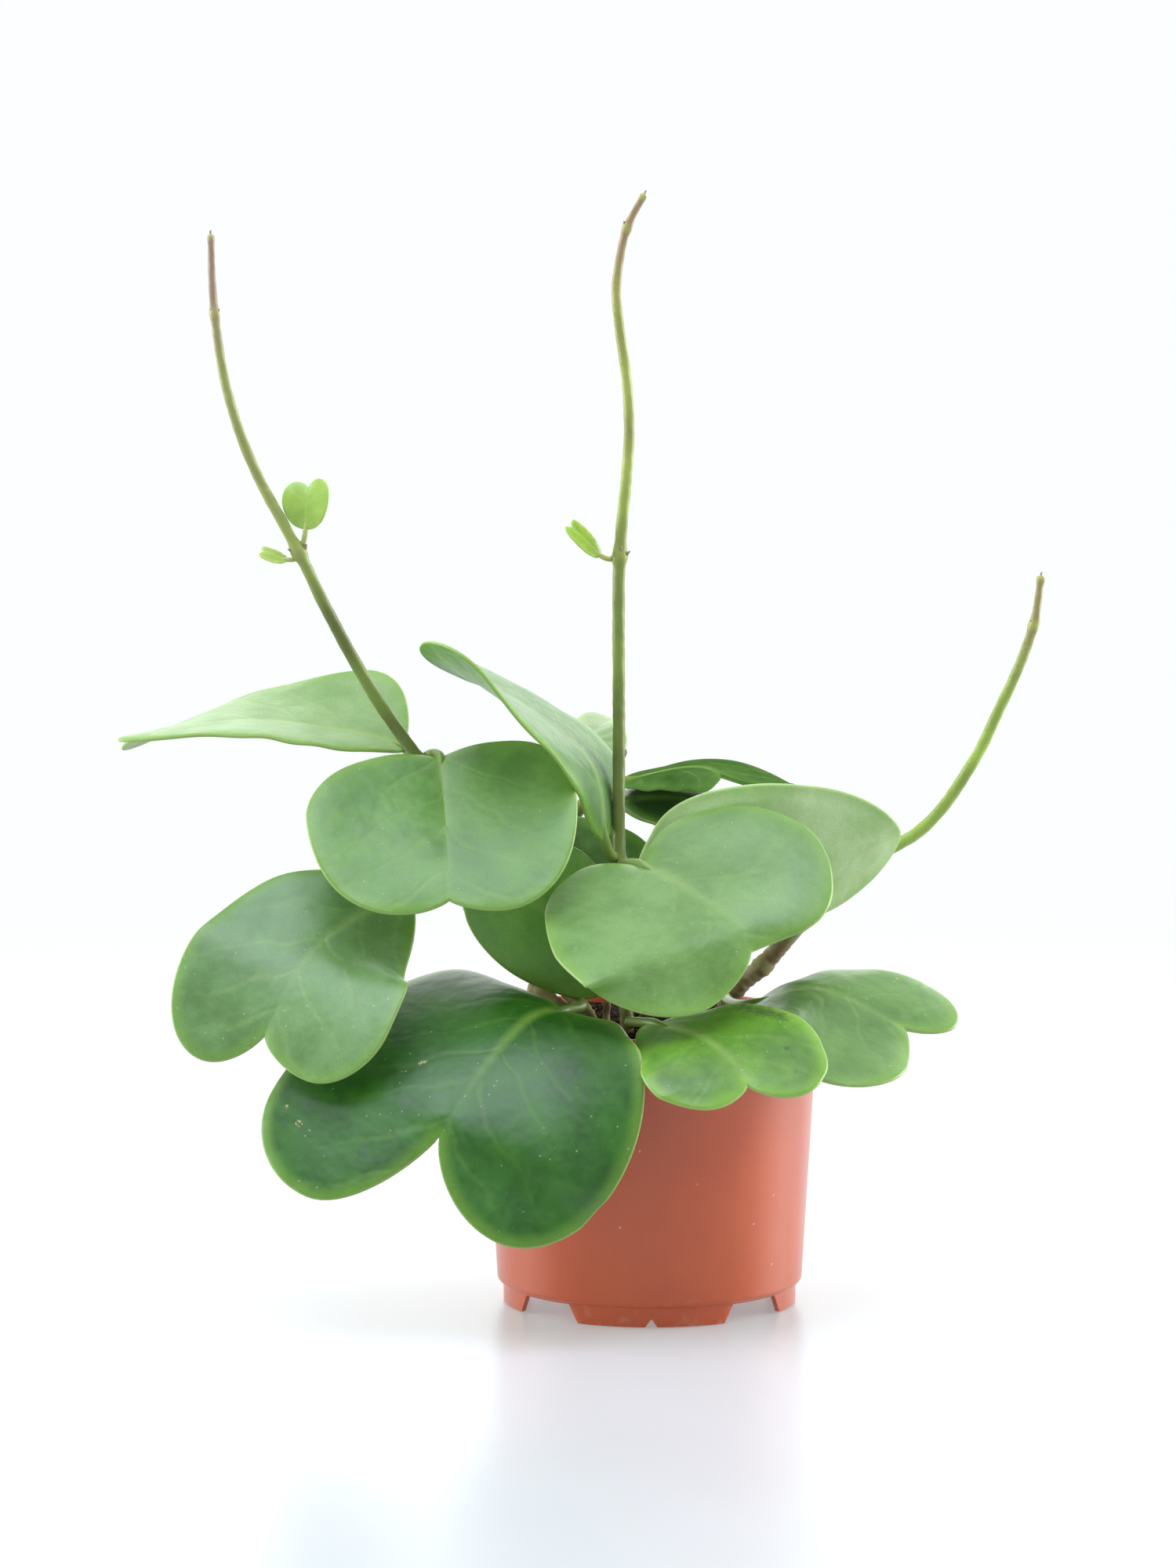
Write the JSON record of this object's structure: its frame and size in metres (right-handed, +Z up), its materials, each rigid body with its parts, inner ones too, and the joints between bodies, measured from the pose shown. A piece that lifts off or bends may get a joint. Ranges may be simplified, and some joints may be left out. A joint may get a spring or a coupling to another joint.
{
  "type": "potted trailing houseplant",
  "caption": "Potted sweetheart hoya: climbing vines with thick heart-shaped leaves, rooted in compost in a tapered terracotta-coloured plastic pot on a footed base.",
  "frame": {"origin": "middle of the overall box in plan, on the surface the pot stands on", "axes": "+Z up along the pot's axis, -Y towards the side seen in the picture, +X to the right as seen there"},
  "size_m": [0.3278, 0.1892, 0.3929],
  "materials": {
    "pot_plastic": "satin terracotta polypropylene",
    "compost": "loose moist bark and coir",
    "vine_bark": "satin green stem with corky joints",
    "leaf": "waxy satin leaf",
    "young_leaf": "glossy young leaf"
  },
  "bodies": {
    "root": {"pot": "pot_plastic", "soil": "compost", "vine_left": "vine_bark", "vine_centre": "vine_bark", "vine_right": "vine_bark", "vine_back": "vine_bark", "leaf_a": "leaf", "leaf_b": "leaf", "leaf_c": "leaf", "leaf_d": "leaf", "leaf_e": "leaf", "leaf_f": "leaf", "leaf_g": "leaf", "leaf_h": "leaf", "leaf_i": "leaf", "leaf_j": "leaf", "leaf_k": "leaf", "leaf_l": "leaf", "leaf_m": "leaf", "leaf_n": "leaf", "young_leaf_a": "young_leaf", "young_leaf_b": "young_leaf", "young_leaf_c": "young_leaf"}
  },
  "joints": []
}
